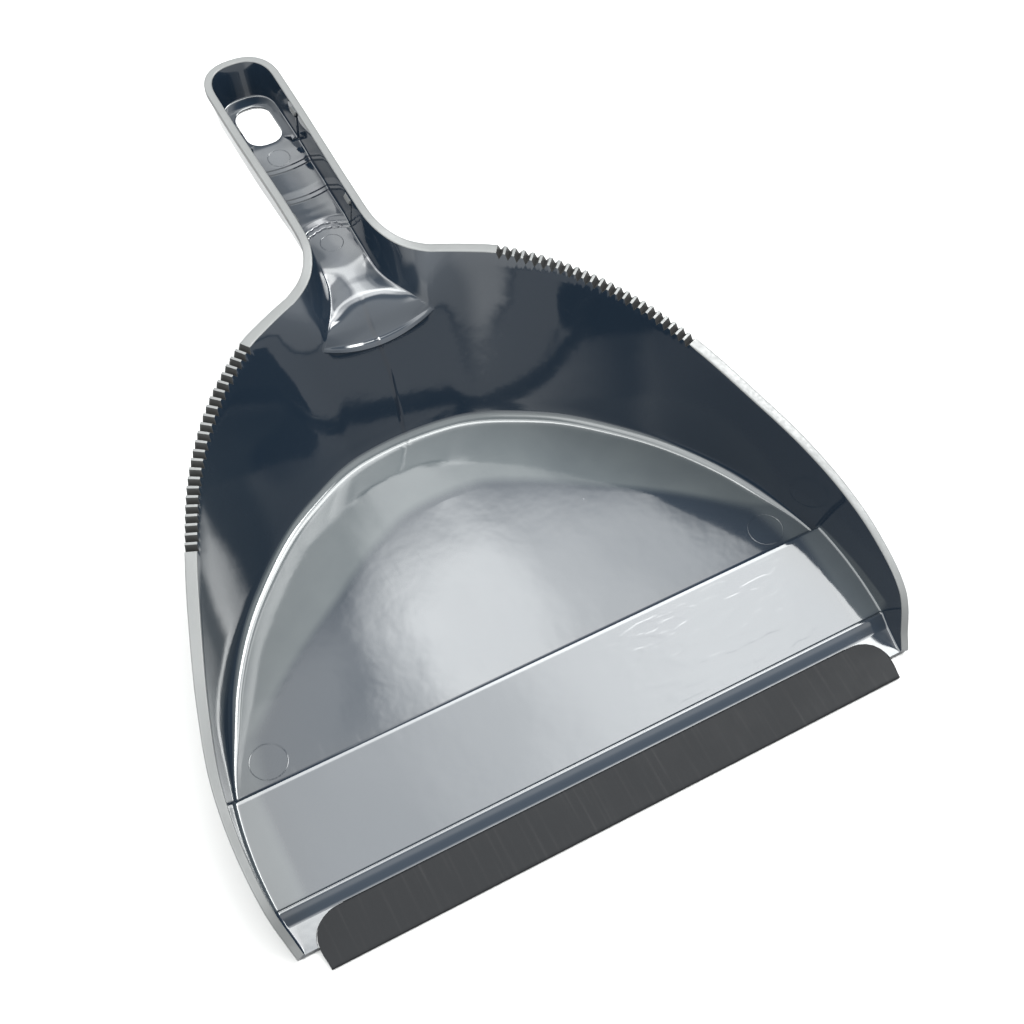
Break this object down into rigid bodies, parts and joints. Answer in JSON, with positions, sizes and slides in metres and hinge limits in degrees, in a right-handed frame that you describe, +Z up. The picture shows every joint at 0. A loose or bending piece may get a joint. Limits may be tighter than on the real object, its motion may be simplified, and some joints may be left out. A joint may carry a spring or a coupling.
{
  "type": "dust pan",
  "caption": "Hand dust pan with a hollow channel handle, a hanging hole, brush-cleaning combs on the rim and a rubber front lip.",
  "frame": {"origin": "on the ground, in the mirror plane, under the crest between the ramp and the bin, on the flat underside of the standing ring's front bar", "axes": "+X to the right, +Y from the front lip towards the handle, +Z up; the pan rests on its standing ring and its lip on z = 0"},
  "size_m": [0.2198, 0.2962, 0.0621],
  "materials": {
    "pan_plastic": "glossy injection-moulded plastic in dark blue-grey, with faint flow marks and scuffs",
    "lip_rubber": "soft matt black rubber with fine draw lines"
  },
  "bodies": {
    "root": {"pan_body": "pan_plastic", "rubber_lip": "lip_rubber"}
  },
  "joints": []
}
